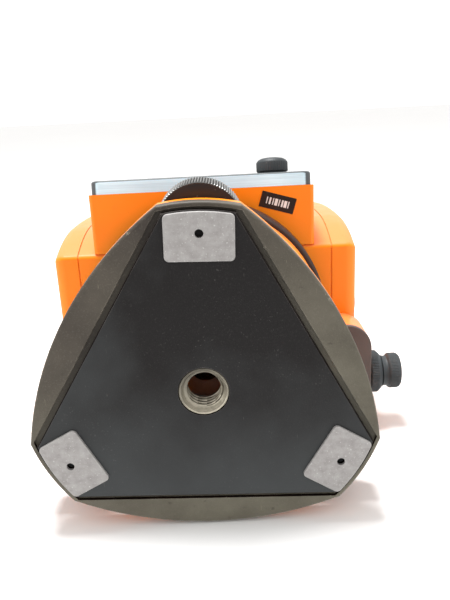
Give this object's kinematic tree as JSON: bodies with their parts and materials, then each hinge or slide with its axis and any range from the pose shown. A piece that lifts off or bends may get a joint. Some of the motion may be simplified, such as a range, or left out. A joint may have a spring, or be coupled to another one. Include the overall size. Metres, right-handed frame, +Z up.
{
  "type": "surveying total station",
  "caption": "Surveying total station: round-cornered triangular base with foot screws, turning body with keyboard and tilting telescope, and a carrying handle.",
  "frame": {"origin": "on the vertical axis, in the plane of the three foot pads", "axes": "+Z up along the vertical axis; the keyboard faces -Y; the drive knobs are on +X"},
  "size_m": [0.1809, 0.143, 0.308],
  "materials": {
    "orange_paint": "satin orange enamel on cast aluminium",
    "orange_plastic": "fine-grained orange moulding",
    "olive_casting": "orange enamel outside, bare grey-brown underside",
    "black_wrinkle": "black fine wrinkle paint",
    "pad_grey": "sand-cast, matt",
    "bushing_metal": "turned, dull nickel",
    "steel": "turned",
    "knurled_metal": "straight knurl, dark anodised",
    "bronze": "turned bronze",
    "brown_ring": "dark brown enamel",
    "black_plastic": "fine-grained black",
    "bezel_grey": "silver-grey moulding",
    "panel_dark": "dark grey keyboard foil",
    "key_light": "moulded keys",
    "lcd": "grey-green display window",
    "board_green": "circuit board",
    "clear_glass": "clear",
    "coated_lens": "coated lens",
    "vial_glass": "yellow-green vial",
    "label_black": "black sticker"
  },
  "bodies": {
    "base": {"base_casting": "olive_casting", "base_cover_plate": "black_wrinkle", "foot_pads": "pad_grey", "tripod_bushing": "bushing_metal"},
    "front_foot": {"foot_screw_front": "steel", "foot_knob_front": "knurled_metal"},
    "right_foot": {"foot_screw_right": "steel", "foot_knob_right": "knurled_metal"},
    "left_foot": {"foot_screw_left": "steel", "foot_knob_left": "knurled_metal"},
    "tribrach": {"tribrach_body": "orange_paint", "foot_screw_sleeves": "bronze", "axis_bush": "bronze", "horizontal_circle": "clear_glass"},
    "alidade": {"axis_spindle": "steel", "lower_ring": "brown_ring", "alidade_base": "orange_paint", "left_standard": "orange_paint", "right_standard": "orange_paint", "left_side_cover": "orange_plastic", "right_side_cover": "orange_plastic", "cover_screws": "steel", "display_box": "orange_plastic", "panel_bezel": "bezel_grey", "panel_plate": "panel_dark", "lcd_window": "lcd", "display_board": "board_green", "asset_label": "label_black", "plate_level_housing": "black_plastic", "plate_level_vial": "vial_glass", "circular_level_housing": "black_plastic", "circular_level_vial": "vial_glass", "plummet_housing": "orange_plastic", "drive_housing": "orange_paint", "drive_housing_cover": "brown_ring", "trunnion_bearings": "steel", "handle": "orange_paint", "handle_screws": "steel"},
    "telescope": {"telescope_body": "orange_paint", "trunnion_axles": "steel", "vertical_circle": "clear_glass", "objective_ring": "black_plastic", "objective_lens": "coated_lens"},
    "focus": {"focus_ring": "black_plastic"},
    "eye": {"eyepiece": "black_plastic"},
    "horizontal_clamp": {"horizontal_clamp_ring": "black_plastic"},
    "horizontal_tangent": {"horizontal_tangent_knob": "black_plastic"},
    "vertical_clamp": {"vertical_clamp_ring": "black_plastic"},
    "vertical_tangent": {"vertical_tangent_knob": "black_plastic"},
    "dial": {"panel_knob": "black_plastic"},
    "plummet_focus": {"plummet_eyepiece": "black_plastic"},
    "battery": {"battery_pack": "orange_plastic"},
    "latch": {"battery_latch": "black_plastic"},
    "key_enter_cap": {"key_enter": "key_light"},
    "key_escape_cap": {"key_escape": "key_light"},
    "key_f1_cap": {"key_f1": "key_light"},
    "key_f2_cap": {"key_f2": "key_light"},
    "key_f3_cap": {"key_f3": "key_light"},
    "key_f4_cap": {"key_f4": "key_light"},
    "key_power_cap": {"key_power": "key_light"}
  },
  "joints": [
    {"name": "levelling_lift", "type": "slide", "parent": "base", "child": "tribrach", "axis": [0, 0, 1], "range_m": [-0.003, 0.003]},
    {"name": "front_foot_turn", "type": "hinge", "parent": "base", "child": "front_foot", "pos_m": [0.00197, -0.06397, 0.02], "axis": [0, 0, 1], "range_deg": [-1441, 1441]},
    {"name": "right_foot_turn", "type": "hinge", "parent": "base", "child": "right_foot", "pos_m": [0.05442, 0.03369, 0.02], "axis": [0, 0, 1], "range_deg": [-1441, 1441]},
    {"name": "left_foot_turn", "type": "hinge", "parent": "base", "child": "left_foot", "pos_m": [-0.05638, 0.03028, 0.02], "axis": [0, 0, 1], "range_deg": [-1441, 1441]},
    {"name": "azimuth", "type": "hinge", "parent": "tribrach", "child": "alidade", "pos_m": [0, 0, 0.09], "axis": [0, 0, 1], "continuous": true},
    {"name": "tilt", "type": "hinge", "parent": "alidade", "child": "telescope", "pos_m": [0, 0, 0.182], "axis": [1, 0, 0], "continuous": true},
    {"name": "focus_turn", "type": "hinge", "parent": "telescope", "child": "focus", "pos_m": [0, -0.04, 0.182], "axis": [0, 1, 0], "range_deg": [-170, 170]},
    {"name": "eyepiece_turn", "type": "hinge", "parent": "telescope", "child": "eye", "pos_m": [0, -0.055, 0.182], "axis": [0, 1, 0], "range_deg": [-150, 150]},
    {"name": "horizontal_clamp_turn", "type": "hinge", "parent": "alidade", "child": "horizontal_clamp", "pos_m": [0.088, 0.033, 0.086], "axis": [1, 0, 0], "range_deg": [0, 90]},
    {"name": "horizontal_tangent_turn", "type": "hinge", "parent": "alidade", "child": "horizontal_tangent", "pos_m": [0.097, 0.033, 0.086], "axis": [1, 0, 0], "range_deg": [-1800, 1800]},
    {"name": "vertical_clamp_turn", "type": "hinge", "parent": "alidade", "child": "vertical_clamp", "pos_m": [0.082, 0.02, 0.172], "axis": [1, 0, 0], "range_deg": [0, 90]},
    {"name": "vertical_tangent_turn", "type": "hinge", "parent": "alidade", "child": "vertical_tangent", "pos_m": [0.088, 0.02, 0.172], "axis": [1, 0, 0], "range_deg": [-1800, 1800]},
    {"name": "panel_knob_turn", "type": "hinge", "parent": "alidade", "child": "dial", "pos_m": [0.0372, -0.07154, 0.10828], "axis": [0, -0.9781, 0.2079], "range_deg": [-150, 150]},
    {"name": "plummet_focus_turn", "type": "hinge", "parent": "alidade", "child": "plummet_focus", "pos_m": [0, 0.056, 0.107], "axis": [0, 1, 0], "range_deg": [-170, 170]},
    {"name": "key_enter_press", "type": "slide", "parent": "alidade", "child": "key_enter_cap", "axis": [0, 0.9781, -0.2079], "range_m": [0, 0.0008], "stiffness_N_per_m": 400},
    {"name": "key_escape_press", "type": "slide", "parent": "alidade", "child": "key_escape_cap", "axis": [0, 0.9781, -0.2079], "range_m": [0, 0.0008], "stiffness_N_per_m": 400},
    {"name": "key_f1_press", "type": "slide", "parent": "alidade", "child": "key_f1_cap", "axis": [0, 0.9781, -0.2079], "range_m": [0, 0.0008], "stiffness_N_per_m": 400},
    {"name": "key_f2_press", "type": "slide", "parent": "alidade", "child": "key_f2_cap", "axis": [0, 0.9781, -0.2079], "range_m": [0, 0.0008], "stiffness_N_per_m": 400},
    {"name": "key_f3_press", "type": "slide", "parent": "alidade", "child": "key_f3_cap", "axis": [0, 0.9781, -0.2079], "range_m": [0, 0.0008], "stiffness_N_per_m": 400},
    {"name": "key_f4_press", "type": "slide", "parent": "alidade", "child": "key_f4_cap", "axis": [0, 0.9781, -0.2079], "range_m": [0, 0.0008], "stiffness_N_per_m": 400},
    {"name": "key_power_press", "type": "slide", "parent": "alidade", "child": "key_power_cap", "axis": [0, 0.9781, -0.2079], "range_m": [0, 0.0008], "stiffness_N_per_m": 400},
    {"name": "battery_slide", "type": "slide", "parent": "alidade", "child": "battery", "axis": [-1, 0, 0], "range_m": [0, 0.03]},
    {"name": "latch_slide", "type": "slide", "parent": "alidade", "child": "latch", "axis": [0, 0, 1], "range_m": [0, 0.003], "stiffness_N_per_m": 300}
  ],
  "couplings": [
    {"joint": "front_foot_turn", "follows": "levelling_lift", "rad_per_m": -8377.6},
    {"joint": "right_foot_turn", "follows": "levelling_lift", "rad_per_m": -8377.6},
    {"joint": "left_foot_turn", "follows": "levelling_lift", "rad_per_m": -8377.6}
  ]
}
